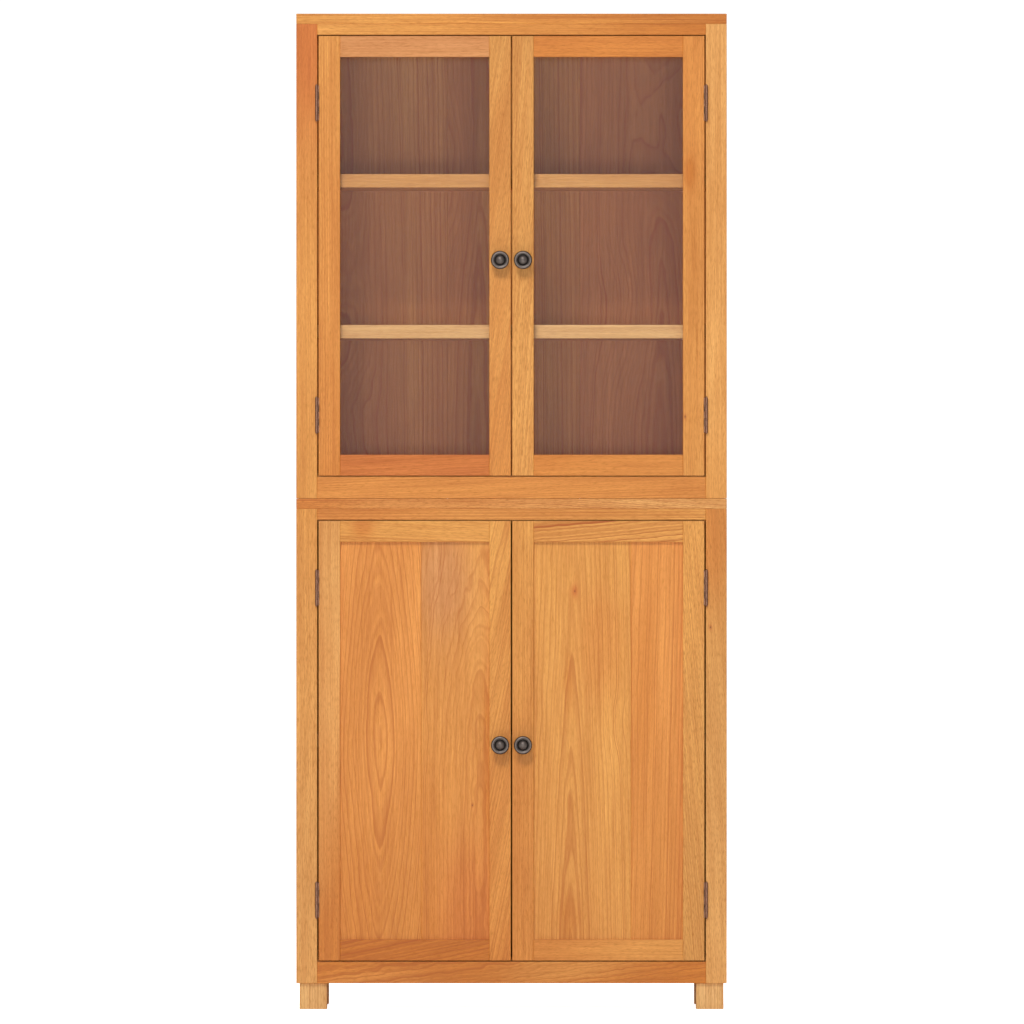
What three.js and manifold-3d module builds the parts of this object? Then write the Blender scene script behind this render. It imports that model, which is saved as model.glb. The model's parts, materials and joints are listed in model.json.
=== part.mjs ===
// Two-module oak pantry cabinet: glazed doors above, panelled doors below. Millimetres, +Z up.
// The origin is on the ground at the middle of the overall box; the doors face -Y.
import * as THREE from 'three';
import { mergeVertices } from 'three/addons/utils/BufferGeometryUtils.js';
import Module from 'manifold-3d';

const wasm = await Module();
wasm.setup();

// Case
const CASE_WIDTH = 800;
const CASE_DEPTH = 350;
const MODULE_HEIGHT = 901;
const TOP_BOARD_THICKNESS = 19;
const SIDE_THICKNESS = 18;
const FRAME_THICKNESS = 20;
const POST_WIDTH = 39;
const TOP_RAIL_HEIGHT = 20;
const BOTTOM_RAIL_HEIGHT = 40;
const FLOOR_THICKNESS = 18;
const BACK_THICKNESS = 6;
const BACK_REBATE = 9;
const STOP_DEPTH = 12;
const STOP_OVERLAP = 8;

// Shelves: the clear height below each one, counted from the piece under it
const UPPER_SHELF_CLEARANCES = [250, 255.5];
const LOWER_SHELF_CLEARANCES = [390];
const SHELF_THICKNESS = 25;
const SHELF_HOUSING = 5;
const SHELF_SET_BACK = 8;

// Feet
const FOOT_HEIGHT = 48;
const FOOT_WIDTH = 51;
const FOOT_INSET = 6;
const FOOT_BLOCK = 32;

// Doors
const STILE_WIDTH = 40;
const DOOR_RAIL_HEIGHT = 39;
const GLASS_THICKNESS = 4;
const PANEL_THICKNESS = 8;
const GLASS_SET_BACK = 8;
const PANEL_SET_BACK = 6.5;
const GROOVE_DEPTH = 9;
const DOOR_OPENING_GAP = 2.5;

// Knobs: the reach is measured from the door's face
const KNOB_RADIUS = 17;
const KNOB_REACH = 28;
const KNOB_RIM = 4.5;
const KNOB_RIM_TO_FACE = 3;
const KNOB_RIM_ROUNDING = 1.5;
const KNOB_RIM_TIP = 2.2;
const KNOB_RIM_WIDTH = 3.6;
const KNOB_CROWN_RISE = 1;
const KNOB_FOOT_RADIUS = 9;
const KNOB_NECK_RADIUS = 6;
const KNOB_FOOT_HEIGHT = 2;
const KNOB_FLARE_HEIGHT = 6;
const KNOB_THROAT_HEIGHT = 4;
const KNOB_THROAT_FLARE = 1;
const KNOB_DOME_RADIUS = 9.5;
const KNOB_DOME_BASE = 0.8;
const KNOB_DOME_HEIGHT = 2;
const KNOB_DOME_SHOULDER = 0.6;
const KNOB_GROOVE = 1.6;
const KNOB_BELOW_MIDDLE = 8;
const KNOB_SCREW_RADIUS = 2;
const KNOB_SCREW_HEAD_RADIUS = 4.5;
const KNOB_SCREW_HEAD_HEIGHT = 2.2;

// Hinges
const HINGE_LENGTH = 65;
const HINGE_FROM_TOP = 92;
const HINGE_FROM_BOTTOM = 80;
const BARREL_RADIUS = 2.8;
const PIN_RADIUS = 1.3;
const KNUCKLES = 5;
const LEAF_THICKNESS = 1.2;
const LEAF_DEPTH = 17;
const LEAF_PROUD = 0.3;
const ARM_THICKNESS = 1.4;
const PIN_ONTO_POST = 1.2;
const LEAF_SCREW_RADIUS = 1.7;
const LEAF_SCREW_SPACING = 22;
const LEAF_END_SCREW_DEPTH = 0.42 * LEAF_DEPTH;
const LEAF_MIDDLE_SCREW_DEPTH = 0.68 * LEAF_DEPTH;
const PIN_INSET = 1;

// Clearances
const JOINT_GAP = 0.3;
const GROOVE_FLOOR_GAP = 1;
const STOP_GAP = 0.5;
const SCREW_HOLE_GAP = 0.5;

// How far glued pieces reach into each other, and cutting tools past what they cut
const OVERLAP = 1;
const TONGUE_SHOULDER = 1;

// How finely round pieces are faceted
const KNOB_SIDES = 20;
const BARREL_SIDES = 10;
const HOLE_SIDES = 8;

// Derived sizes
const frontY = -(CASE_DEPTH - KNOB_REACH) / 2;
const halfWidth = CASE_WIDTH / 2;
const openingHalf = halfWidth - POST_WIDTH;
const innerHalf = halfWidth - SIDE_THICKNESS;
const boardUnderside = MODULE_HEIGHT - TOP_BOARD_THICKNESS;
const railUnderside = boardUnderside - TOP_RAIL_HEIGHT;
const floorTop = BOTTOM_RAIL_HEIGHT + STOP_OVERLAP;
const backFront = CASE_DEPTH - BACK_THICKNESS;
const doorWidth = openingHalf - DOOR_OPENING_GAP * 1.5;
const doorHeight = railUnderside - BOTTOM_RAIL_HEIGHT - 2 * DOOR_OPENING_GAP;
const doorThickness = FRAME_THICKNESS - STOP_GAP;
const pinAhead = BARREL_RADIUS + JOINT_GAP;
const doorEdge = PIN_ONTO_POST + DOOR_OPENING_GAP;
const glueReach = [POST_WIDTH - openingHalf, openingHalf - POST_WIDTH];

const oak = new THREE.MeshStandardMaterial({ color: 0xdc9a56, roughness: 0.55, metalness: 0 });
const darkOak = new THREE.MeshStandardMaterial({ color: 0xcf8f50, roughness: 0.6, metalness: 0 });
const smokedGlass = new THREE.MeshStandardMaterial({
  color: 0x8a6048, roughness: 0.05, metalness: 0, transparent: true, opacity: 0.3,
});
const bronze = new THREE.MeshStandardMaterial({ color: 0x5d4f45, roughness: 0.4, metalness: 0.85 });

// A closed three.js geometry as a solid that can be joined and cut
function solidOf(geometry) {
  const bare = geometry.clone();
  bare.deleteAttribute('normal');
  bare.deleteAttribute('uv');
  const merged = mergeVertices(bare);
  return new wasm.Manifold(new wasm.Mesh({
    numProp: 3,
    vertProperties: new Float32Array(merged.attributes.position.array),
    triVerts: new Uint32Array(merged.index.array),
  }));
}

function geometryOf(solid) {
  const { vertProperties, triVerts } = solid.getMesh();
  const geometry = new THREE.BufferGeometry();
  geometry.setAttribute('position', new THREE.BufferAttribute(vertProperties, 3));
  geometry.setIndex(new THREE.BufferAttribute(triVerts, 1));
  const flat = geometry.toNonIndexed();
  flat.computeVertexNormals();
  return flat;
}

// A box given by its two limits along each axis, in either order
function block(x, y, z) {
  const spans = [x, y, z].map(([a, b]) => Math.abs(b - a));
  const middles = [x, y, z].map(([a, b]) => (a + b) / 2);
  return new THREE.BoxGeometry(...spans).translate(...middles);
}

const join = (first, ...others) => others.reduce((whole, piece) => whole.add(piece), first);
const cut = (whole, ...tools) => tools.reduce((left, tool) => left.subtract(tool), whole);

// A round bar from z0 to z1 on the Z axis
function bar(radius, [z0, z1], sides) {
  return new THREE.CylinderGeometry(radius, radius, z1 - z0, sides)
    .rotateX(Math.PI / 2)
    .translate(0, 0, (z0 + z1) / 2);
}

function piece(name, shape, material) {
  const mesh = new THREE.Mesh(shape.isBufferGeometry ? shape : geometryOf(shape), material);
  mesh.name = name;
  return mesh;
}

// Across one half of the cabinet: side is -1 on the left and 1 on the right
const towards = (side, a, b) => [side * a, side * b];
const sideName = (side) => (side < 0 ? 'left' : 'right');

const hingeMiddles = [
  HINGE_FROM_BOTTOM + HINGE_LENGTH / 2,
  doorHeight - HINGE_FROM_TOP - HINGE_LENGTH / 2,
];

// Underside of each shelf in a module, from the clear heights below them
function shelfUndersides(clearances) {
  let below = floorTop;
  return clearances.map((clear) => {
    const underside = below + clear;
    below = underside + SHELF_THICKNESS;
    return underside;
  });
}

// Case pieces. In a module's own frame y = 0 is the front face and z = 0 the underside.

// Side panel with its front post glued on, housed for the shelves and let in for the hinges
function caseSide(module, side, undersides) {
  const tall = [JOINT_GAP, boardUnderside];
  const panel = solidOf(block(towards(side, innerHalf, halfWidth), [0, CASE_DEPTH], tall));
  const post = solidOf(block(towards(side, openingHalf, halfWidth - OVERLAP), [0, FRAME_THICKNESS], tall));
  const housings = undersides.map((z) => solidOf(block(
    towards(side, innerHalf - JOINT_GAP * 2, innerHalf + SHELF_HOUSING),
    [FRAME_THICKNESS + SHELF_SET_BACK - JOINT_GAP, CASE_DEPTH + OVERLAP],
    [z - JOINT_GAP, z + SHELF_THICKNESS + JOINT_GAP],
  )));
  const rebate = solidOf(block(
    towards(side, innerHalf - OVERLAP, innerHalf + BACK_REBATE),
    [backFront - JOINT_GAP, CASE_DEPTH + OVERLAP],
    [0, MODULE_HEIGHT],
  ));
  const leafSeats = hingeMiddles.map((middle) => {
    const z = BOTTOM_RAIL_HEIGHT + DOOR_OPENING_GAP + middle;
    return solidOf(block(
      towards(side, openingHalf - OVERLAP, openingHalf + LEAF_THICKNESS - LEAF_PROUD + JOINT_GAP),
      [-OVERLAP, LEAF_DEPTH + JOINT_GAP],
      [z - HINGE_LENGTH / 2 - JOINT_GAP, z + HINGE_LENGTH / 2 + JOINT_GAP],
    ));
  });
  const shape = cut(join(panel, post), ...housings, rebate, ...leafSeats);
  return piece(`${module}_side_${sideName(side)}`, shape, oak);
}

// Floor board with the bottom front rail glued along its front edge
function caseBase(module) {
  const rail = solidOf(block(
    [-openingHalf + JOINT_GAP, openingHalf - JOINT_GAP],
    [0, FRAME_THICKNESS],
    [JOINT_GAP, BOTTOM_RAIL_HEIGHT],
  ));
  const floor = solidOf(block(
    [-innerHalf + JOINT_GAP, innerHalf - JOINT_GAP],
    [FRAME_THICKNESS + JOINT_GAP, backFront - JOINT_GAP * 2],
    [floorTop - FLOOR_THICKNESS, floorTop],
  ));
  const tongueBottom = floorTop - FLOOR_THICKNESS + TONGUE_SHOULDER;
  const tongue = solidOf(block(
    glueReach,
    [FRAME_THICKNESS / 2, FRAME_THICKNESS + STOP_DEPTH],
    [tongueBottom, BOTTOM_RAIL_HEIGHT - TONGUE_SHOULDER],
  ));
  return piece(`${module}_base`, join(rail, floor, tongue), oak);
}

// Top front rail with the strip behind it that the doors close against
function topRail(module) {
  const rail = solidOf(block(
    [-openingHalf + JOINT_GAP, openingHalf - JOINT_GAP],
    [0, FRAME_THICKNESS],
    [railUnderside, boardUnderside],
  ));
  const stop = solidOf(block(
    [-innerHalf + JOINT_GAP, innerHalf - JOINT_GAP],
    [FRAME_THICKNESS + JOINT_GAP, FRAME_THICKNESS + STOP_DEPTH],
    [railUnderside - STOP_OVERLAP, boardUnderside],
  ));
  const glueLine = solidOf(block(
    glueReach,
    [FRAME_THICKNESS - OVERLAP, FRAME_THICKNESS + OVERLAP],
    [railUnderside + TONGUE_SHOULDER, boardUnderside - TONGUE_SHOULDER],
  ));
  return piece(`${module}_top_rail`, join(rail, stop, glueLine), oak);
}

function topBoard(module) {
  return piece(`${module}_top_board`, block(
    [-halfWidth, halfWidth],
    [0, CASE_DEPTH],
    [boardUnderside + JOINT_GAP, MODULE_HEIGHT],
  ), oak);
}

function backPanel(module) {
  const reach = innerHalf + BACK_REBATE - JOINT_GAP;
  return piece(`${module}_back_panel`, block(
    [-reach, reach],
    [backFront, CASE_DEPTH],
    [JOINT_GAP, boardUnderside],
  ), darkOak);
}

function shelf(name, underside) {
  const reach = innerHalf + SHELF_HOUSING - JOINT_GAP;
  return piece(name, block(
    [-reach, reach],
    [FRAME_THICKNESS + SHELF_SET_BACK, backFront - JOINT_GAP * 2],
    [underside, underside + SHELF_THICKNESS],
  ), oak);
}

// Square foot with a glue block that rises into the corner under the floor
function foot(side, back) {
  const [yFoot, yBlock] = back
    ? [CASE_DEPTH - FOOT_INSET - FOOT_WIDTH, backFront - JOINT_GAP - FOOT_BLOCK]
    : [FOOT_INSET, FRAME_THICKNESS + JOINT_GAP];
  const outerX = halfWidth - FOOT_INSET;
  const leg = solidOf(block(
    towards(side, outerX - FOOT_WIDTH, outerX),
    [yFoot, yFoot + FOOT_WIDTH],
    [-FOOT_HEIGHT, 0],
  ));
  const blockOuter = innerHalf - JOINT_GAP;
  const glueBlock = solidOf(block(
    towards(side, blockOuter - FOOT_BLOCK, blockOuter),
    [yBlock, yBlock + FOOT_BLOCK],
    [-OVERLAP, floorTop - FLOOR_THICKNESS - JOINT_GAP],
  ));
  return piece(`foot_${back ? 'back' : 'front'}_${sideName(side)}`, join(leg, glueBlock), oak);
}

// Door pieces. In a door's own frame the hinge pin is at x = y = 0 and the door's foot at z = 0.

// Limits across the door, given as distances from the pin towards the meeting edge
const acrossDoor = (side, a, b) => [-side * a, -side * b];
const doorFace = [pinAhead, pinAhead + doorThickness];

function stile(name, side, atHinge, infill) {
  const near = atHinge ? doorEdge : doorEdge + doorWidth - STILE_WIDTH;
  const body = solidOf(block(
    acrossDoor(side, near, near + STILE_WIDTH),
    doorFace,
    [0, doorHeight],
  ));
  const [grooveStart, grooveEnd] = atHinge
    ? [near + STILE_WIDTH - GROOVE_DEPTH, near + STILE_WIDTH + OVERLAP]
    : [near - OVERLAP, near + GROOVE_DEPTH];
  const groove = solidOf(block(
    acrossDoor(side, grooveStart, grooveEnd),
    infill.grooveY,
    [-OVERLAP, doorHeight + OVERLAP],
  ));
  const cuts = [groove];
  if (atHinge) {
    for (const middle of hingeMiddles) {
      cuts.push(solidOf(block(
        acrossDoor(side, near - OVERLAP, near + LEAF_THICKNESS - LEAF_PROUD + JOINT_GAP),
        [0, pinAhead + LEAF_DEPTH + JOINT_GAP],
        [middle - HINGE_LENGTH / 2 - JOINT_GAP, middle + HINGE_LENGTH / 2 + JOINT_GAP],
      )));
    }
  } else {
    const hole = new THREE.CylinderGeometry(
      KNOB_SCREW_RADIUS + SCREW_HOLE_GAP, KNOB_SCREW_RADIUS + SCREW_HOLE_GAP,
      4 * doorThickness, HOLE_SIDES,
    );
    const [x] = acrossDoor(side, near + STILE_WIDTH / 2, 0);
    cuts.push(solidOf(hole.translate(x, 0, doorHeight / 2 - KNOB_BELOW_MIDDLE)));
  }
  return piece(name, cut(body, ...cuts), oak);
}

// Door rail: stub tenons fill the stiles' grooves, and its own groove holds the infill
function doorRail(name, side, atTop, infill) {
  const start = doorEdge + STILE_WIDTH + JOINT_GAP;
  const end = doorEdge + doorWidth - STILE_WIDTH - JOINT_GAP;
  const tenon = GROOVE_DEPTH - GROOVE_FLOOR_GAP + JOINT_GAP;
  const upright = (low, high) => (atTop ? [doorHeight - high, doorHeight - low] : [low, high]);
  const body = solidOf(block(
    acrossDoor(side, start, end),
    doorFace,
    upright(0, DOOR_RAIL_HEIGHT),
  ));
  const tenons = solidOf(block(
    acrossDoor(side, start - tenon, end + tenon),
    infill.y,
    upright(0, DOOR_RAIL_HEIGHT - GROOVE_DEPTH),
  ));
  const groove = solidOf(block(
    acrossDoor(side, start - STILE_WIDTH, end + STILE_WIDTH),
    infill.grooveY,
    upright(DOOR_RAIL_HEIGHT - GROOVE_DEPTH, DOOR_RAIL_HEIGHT + OVERLAP),
  ));
  return piece(name, cut(join(body, tenons), groove), oak);
}

function infillPanel(name, side, infill) {
  const inGroove = GROOVE_DEPTH - GROOVE_FLOOR_GAP;
  return piece(name, block(
    acrossDoor(side, doorEdge + STILE_WIDTH - inGroove, doorEdge + doorWidth - STILE_WIDTH + inGroove),
    infill.y,
    [DOOR_RAIL_HEIGHT - inGroove, doorHeight - DOOR_RAIL_HEIGHT + inGroove],
  ), infill.material);
}

function infillOf(setBack, thickness, material) {
  const y = [pinAhead + setBack, pinAhead + setBack + thickness];
  return { y, grooveY: [y[0] - JOINT_GAP, y[1] + JOINT_GAP], material };
}

// Turned knob with its screw: a domed face inside a rim, a neck and a flared foot
function knob(name, side) {
  const rimBack = KNOB_REACH - KNOB_RIM - KNOB_RIM_TO_FACE;
  const rimTop = rimBack + KNOB_RIM + KNOB_CROWN_RISE;
  const tip = KNOB_REACH - JOINT_GAP;
  const screwEnd = -(JOINT_GAP * 2 + doorThickness);
  const profile = [
    [0, screwEnd - KNOB_SCREW_HEAD_HEIGHT],
    [KNOB_SCREW_HEAD_RADIUS, screwEnd - KNOB_SCREW_HEAD_HEIGHT],
    [KNOB_SCREW_HEAD_RADIUS, screwEnd],
    [KNOB_SCREW_RADIUS, screwEnd],
    [KNOB_SCREW_RADIUS, 0],
    [KNOB_FOOT_RADIUS, 0],
    [KNOB_FOOT_RADIUS, KNOB_FOOT_HEIGHT],
    [KNOB_NECK_RADIUS, KNOB_FLARE_HEIGHT],
    [KNOB_NECK_RADIUS + KNOB_THROAT_FLARE, rimBack - KNOB_THROAT_HEIGHT],
    [KNOB_RADIUS - KNOB_RIM_ROUNDING, rimBack],
    [KNOB_RADIUS, rimBack + KNOB_RIM_ROUNDING],
    [KNOB_RADIUS, rimBack + KNOB_RIM],
    [KNOB_RADIUS - KNOB_RIM_TIP, rimTop],
    [KNOB_RADIUS - KNOB_RIM_WIDTH, rimTop - KNOB_GROOVE],
    [KNOB_DOME_RADIUS + KNOB_DOME_BASE, rimTop - KNOB_GROOVE],
    [KNOB_DOME_RADIUS, tip - KNOB_DOME_HEIGHT],
    [KNOB_DOME_RADIUS * KNOB_DOME_SHOULDER, tip - KNOB_DOME_SHOULDER],
    [0, tip],
  ].map(([radius, height]) => new THREE.Vector2(radius, height));
  const mesh = piece(name, new THREE.LatheGeometry(profile, KNOB_SIDES), bronze);
  mesh.rotation.x = Math.PI;
  const [x] = acrossDoor(side, doorEdge + doorWidth - STILE_WIDTH / 2, 0);
  mesh.position.set(x, pinAhead - JOINT_GAP, doorHeight / 2 - KNOB_BELOW_MIDDLE);
  return mesh;
}

// Hinge pieces. In a hinge's own frame the pin is the Z axis, the post is at -X and the door at +X.

// Heights of the knuckles that belong to one leaf: even ones to the post's, odd ones to the door's
function knuckleSpans(first) {
  const pitch = HINGE_LENGTH / KNUCKLES;
  const spans = [];
  for (let i = first; i < KNUCKLES; i += 2) {
    const bottom = i === 0 ? 0 : JOINT_GAP / 2;
    const top = i === KNUCKLES - 1 ? 0 : JOINT_GAP / 2;
    spans.push([i * pitch - HINGE_LENGTH / 2 + bottom, (i + 1) * pitch - HINGE_LENGTH / 2 - top]);
  }
  return spans;
}

// Screw holes along a leaf, bored through it along X
function leafHoles() {
  return [-1, 0, 1].map((place) => solidOf(
    new THREE.CylinderGeometry(LEAF_SCREW_RADIUS, LEAF_SCREW_RADIUS, 6 * BARREL_RADIUS, HOLE_SIDES)
      .rotateZ(Math.PI / 2)
      .translate(
        PIN_ONTO_POST,
        pinAhead + (place === 0 ? LEAF_MIDDLE_SCREW_DEPTH : LEAF_END_SCREW_DEPTH),
        place * LEAF_SCREW_SPACING,
      ),
  ));
}

const leafTall = [-HINGE_LENGTH / 2, HINGE_LENGTH / 2];

// Leaf on the post, with its knuckles and the pin fixed in them
function frameLeaf(name) {
  const plateX = [PIN_ONTO_POST - LEAF_THICKNESS + LEAF_PROUD, PIN_ONTO_POST + LEAF_PROUD];
  const plate = solidOf(block(plateX, [0, pinAhead + LEAF_DEPTH], leafTall));
  const notches = knuckleSpans(1).map(([z0, z1]) => solidOf(block(
    [-BARREL_RADIUS, 2 * BARREL_RADIUS],
    [-OVERLAP, pinAhead + JOINT_GAP],
    [z0 - JOINT_GAP, z1 + JOINT_GAP],
  )));
  const knuckles = knuckleSpans(0).map((span) => solidOf(bar(BARREL_RADIUS, span, BARREL_SIDES)));
  const pinEnd = HINGE_LENGTH / 2 - PIN_INSET;
  const pin = solidOf(bar(PIN_RADIUS, [-pinEnd, pinEnd], BARREL_SIDES));
  return piece(name, join(cut(plate, ...notches, ...leafHoles()), ...knuckles, pin), bronze);
}

// Leaf on the door, whose knuckles turn on the pin
function doorLeaf(name) {
  const plateX = [doorEdge - LEAF_PROUD, doorEdge - LEAF_PROUD + LEAF_THICKNESS];
  const plate = solidOf(block(plateX, [pinAhead, pinAhead + LEAF_DEPTH], leafTall));
  const spans = knuckleSpans(1);
  const arms = spans.flatMap((span) => [
    solidOf(block(plateX, [-ARM_THICKNESS / 2, pinAhead + OVERLAP], span)),
    solidOf(block([0, plateX[1]], [-ARM_THICKNESS / 2, ARM_THICKNESS / 2], span)),
  ]);
  const knuckles = spans.map((span) => solidOf(bar(BARREL_RADIUS, span, BARREL_SIDES)));
  const bore = solidOf(bar(PIN_RADIUS + JOINT_GAP, leafTall, BARREL_SIDES));
  return piece(name, cut(join(plate, ...arms, ...knuckles), bore, ...leafHoles()), bronze);
}

function hinge(prefix, side, middle) {
  const group = new THREE.Group();
  group.add(frameLeaf(`${prefix}_frame_leaf`), doorLeaf(`${prefix}_door_leaf`));
  group.position.z = middle;
  group.rotation.y = side > 0 ? Math.PI : 0;
  return group;
}

function door(module, side, infill, infillName) {
  const group = new THREE.Group();
  const prefix = `${module}_${sideName(side)}_door`;
  group.add(
    stile(`${prefix}_hinge_stile`, side, true, infill),
    stile(`${prefix}_knob_stile`, side, false, infill),
    doorRail(`${prefix}_top_rail`, side, true, infill),
    doorRail(`${prefix}_bottom_rail`, side, false, infill),
    infillPanel(`${prefix}_${infillName}`, side, infill),
    knob(`${prefix}_knob`, side),
  );
  ['bottom', 'top'].forEach((place, i) => {
    group.add(hinge(`${prefix}_${place}_hinge`, side, hingeMiddles[i]));
  });
  const pinX = side * (openingHalf + PIN_ONTO_POST);
  group.position.set(pinX, -pinAhead, BOTTOM_RAIL_HEIGHT + DOOR_OPENING_GAP);
  return group;
}

function cabinetModule(module, clearances, infill, infillName) {
  const group = new THREE.Group();
  const undersides = shelfUndersides(clearances);
  const levels = undersides.length > 1 ? ['_low', '_high'] : [''];
  group.add(caseBase(module), topRail(module), topBoard(module), backPanel(module));
  undersides.forEach((underside, i) => group.add(shelf(`${module}_shelf${levels[i]}`, underside)));
  for (const side of [-1, 1]) {
    group.add(caseSide(module, side, undersides), door(module, side, infill, infillName));
  }
  return group;
}

const glazing = infillOf(GLASS_SET_BACK, GLASS_THICKNESS, smokedGlass);
const boarding = infillOf(PANEL_SET_BACK, PANEL_THICKNESS, oak);
const lower = cabinetModule('lower', LOWER_SHELF_CLEARANCES, boarding, 'panel');
const upper = cabinetModule('upper', UPPER_SHELF_CLEARANCES, glazing, 'glass');
upper.position.z = MODULE_HEIGHT;
for (const side of [-1, 1]) {
  lower.add(foot(side, false), foot(side, true));
}

const cabinet = new THREE.Group();
cabinet.add(lower, upper);
cabinet.position.set(0, frontY, FOOT_HEIGHT);

export default cabinet;
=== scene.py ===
"""The looks of a two-module oak pantry cabinet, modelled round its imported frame."""
import json
import random
from math import cos, pi, radians, sin

import bpy
from bpy.props import FloatProperty, FloatVectorProperty, PointerProperty
from mathutils import Matrix, Vector


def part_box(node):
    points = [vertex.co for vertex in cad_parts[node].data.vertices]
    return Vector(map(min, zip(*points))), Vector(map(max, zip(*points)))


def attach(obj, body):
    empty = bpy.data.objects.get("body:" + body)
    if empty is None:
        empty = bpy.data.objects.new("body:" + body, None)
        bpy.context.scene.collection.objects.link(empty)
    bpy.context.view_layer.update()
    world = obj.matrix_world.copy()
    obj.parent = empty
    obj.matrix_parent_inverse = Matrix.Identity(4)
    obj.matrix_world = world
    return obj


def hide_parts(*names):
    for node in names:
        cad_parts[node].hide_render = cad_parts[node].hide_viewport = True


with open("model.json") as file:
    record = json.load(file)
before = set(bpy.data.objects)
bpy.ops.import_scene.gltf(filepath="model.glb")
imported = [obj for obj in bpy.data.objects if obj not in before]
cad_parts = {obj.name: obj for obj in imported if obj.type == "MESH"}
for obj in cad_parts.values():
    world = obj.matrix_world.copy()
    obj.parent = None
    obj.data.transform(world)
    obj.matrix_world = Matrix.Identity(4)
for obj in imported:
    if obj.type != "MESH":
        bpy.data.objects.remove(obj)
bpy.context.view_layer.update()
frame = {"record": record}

bl_info = {
    "name": "Oak pantry cabinet",
    "version": (1, 0, 0),
    "blender": (4, 5, 0),
    "location": "3D View > Sidebar > Cabinet",
    "description": "Boards, glass, knobs and hinges of an oak pantry cabinet",
    "category": "Object",
}

MM = 0.001

# Where the case stands, from the frame
CASE_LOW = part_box("upper_top_board")[0]
CASE_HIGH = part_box("upper_top_board")[1]
FRONT, BACK = CASE_LOW.y, CASE_HIGH.y
HALF_WIDTH = CASE_HIGH.x
OPENING_HALF = -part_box("upper_side_left")[1].x
INNER_HALF = round(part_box("upper_base")[1].x, 3)
SIDES = {"left": -1, "right": 1}
MODULES = ("lower", "upper")
CUT_PAST = 10 * MM  # how far a cutter runs out beyond the board

# ---- settings


def shade(name, description, red, green, blue):
    """A colour property, from the 0 to 255 values of a colour chart."""
    linear = [((c / 255 + 0.055) / 1.055) ** 2.4 for c in (red, green, blue)]
    return FloatVectorProperty(
        name=name, description=description, default=linear, size=3, min=0, max=1, subtype="COLOR",
    )


def length(name, description, millimetres):
    """A length property."""
    return FloatProperty(
        name=name, description=description, default=millimetres * MM, min=0, unit="LENGTH",
    )


class CabinetTones(bpy.types.PropertyGroup):
    """Colours of the oak, the metal and the glass."""

    straw: shade("Straw oak", "Palest boards of the front", 226, 165, 92)
    wheat: shade("Wheat oak", "Light yellow boards", 224, 156, 74)
    olive: shade("Olive oak", "Greener yellow boards", 211, 149, 74)
    honey: shade("Honey oak", "Most boards", 219, 149, 70)
    amber: shade("Amber oak", "Warmer boards", 215, 138, 60)
    tangerine: shade("Tangerine", "Bright orange oak", 224, 145, 67)
    caramel: shade("Caramel oak", "Darker, redder boards", 207, 126, 49)
    russet: shade("Russet oak", "Reddest boards", 205, 117, 50)
    chestnut: shade("Chestnut oak", "Strongly grained dark boards", 198, 116, 36)
    salmon: shade("Salmon oak", "Pinkish boards", 207, 140, 82)
    cream: shade("Cream oak", "Shelves and feet", 226, 175, 108)
    dusk: shade("Dusky oak", "Ground of the back boards", 202, 142, 68)
    dawn: shade("Rosy oak", "Redder parts of the back boards", 198, 128, 62)
    latewood: shade("Late wood", "Lines of the growth rings", 172, 86, 30)
    heartwood: shade("Heartwood", "Ground round the knots", 176, 80, 30)
    pore: shade("Pores", "Open pores of the oak", 152, 82, 28)
    gunmetal: shade("Gunmetal", "Hollows of the knobs", 36, 30, 26)
    # Also the painted reflection on the knobs' faces that turn to the front.
    sheen: shade("Gunmetal sheen", "High edges of the knobs", 136, 124, 117)
    bronze: shade("Antique bronze", "Hollows of the hinges", 110, 78, 62)
    rubbed: shade("Rubbed bronze", "High edges of the hinges", 150, 112, 92)
    steel: shade("Plated steel", "Catches and their screws", 170, 170, 168)
    glass: shade("Glass", "Tint of the door glass", 190, 170, 165)
    catch: shade("Catch", "Moulded body of a magnetic catch", 120, 78, 48)
    floor: shade("Floor", "Plain pale floor", 250, 250, 250)


class CabinetSizes(bpy.types.PropertyGroup):
    """Sizes that the frame doesn't give by itself."""

    arris: length("Arris", "Rounding of a board's edges", 0.9)
    frame_thickness: length("Frame thickness", "Posts and front rails", 20)
    back_rebate: length("Back rebate", "How far the back laps into each side", 9)
    back_thickness: length("Back thickness", "Back boards", 6)
    floor_thickness: length("Floor thickness", "Floor boards", 18)
    stop_depth: length("Stop depth", "Strip that the doors close against", 12)
    groove: length("Groove", "Depth of the grooves in the door frames", 9)
    leaf: length("Hinge leaf", "Thickness of a hinge leaf", 1.2)
    barrel: length("Barrel radius", "Radius of a hinge barrel", 2.8)
    rail_height: length("Rail height", "Bottom rail of a case", 40)
    foot_inset: length("Foot inset", "How far a foot stands in from the outside", 6)
    foot_width: length("Foot width", "Width and depth of a foot", 51)
    glue_block: length("Glue block", "Width and depth of a glue block", 32)


def tones():
    return bpy.context.scene.cabinet_tones


def sizes():
    return bpy.context.scene.cabinet_sizes

# ---- shader maths


class Value:
    """A socket of a shader, which adds Math nodes when it is calculated with."""

    def __init__(self, shader, socket):
        self.shader = shader
        self.socket = socket

    def maths(self, operation, *others):
        return self.shader.maths(operation, self, *others)

    def __add__(self, other):
        return self.maths("ADD", other)

    def __sub__(self, other):
        return self.maths("SUBTRACT", other)

    def __mul__(self, other):
        return self.maths("MULTIPLY", other)

    def __truediv__(self, other):
        return self.maths("DIVIDE", other)

    def __pow__(self, other):
        return self.maths("POWER", other)

    def __rsub__(self, other):
        return self.shader.maths("SUBTRACT", other, self)

    def __rtruediv__(self, other):
        return self.shader.maths("DIVIDE", other, self)

    __radd__ = __add__
    __rmul__ = __mul__


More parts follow.
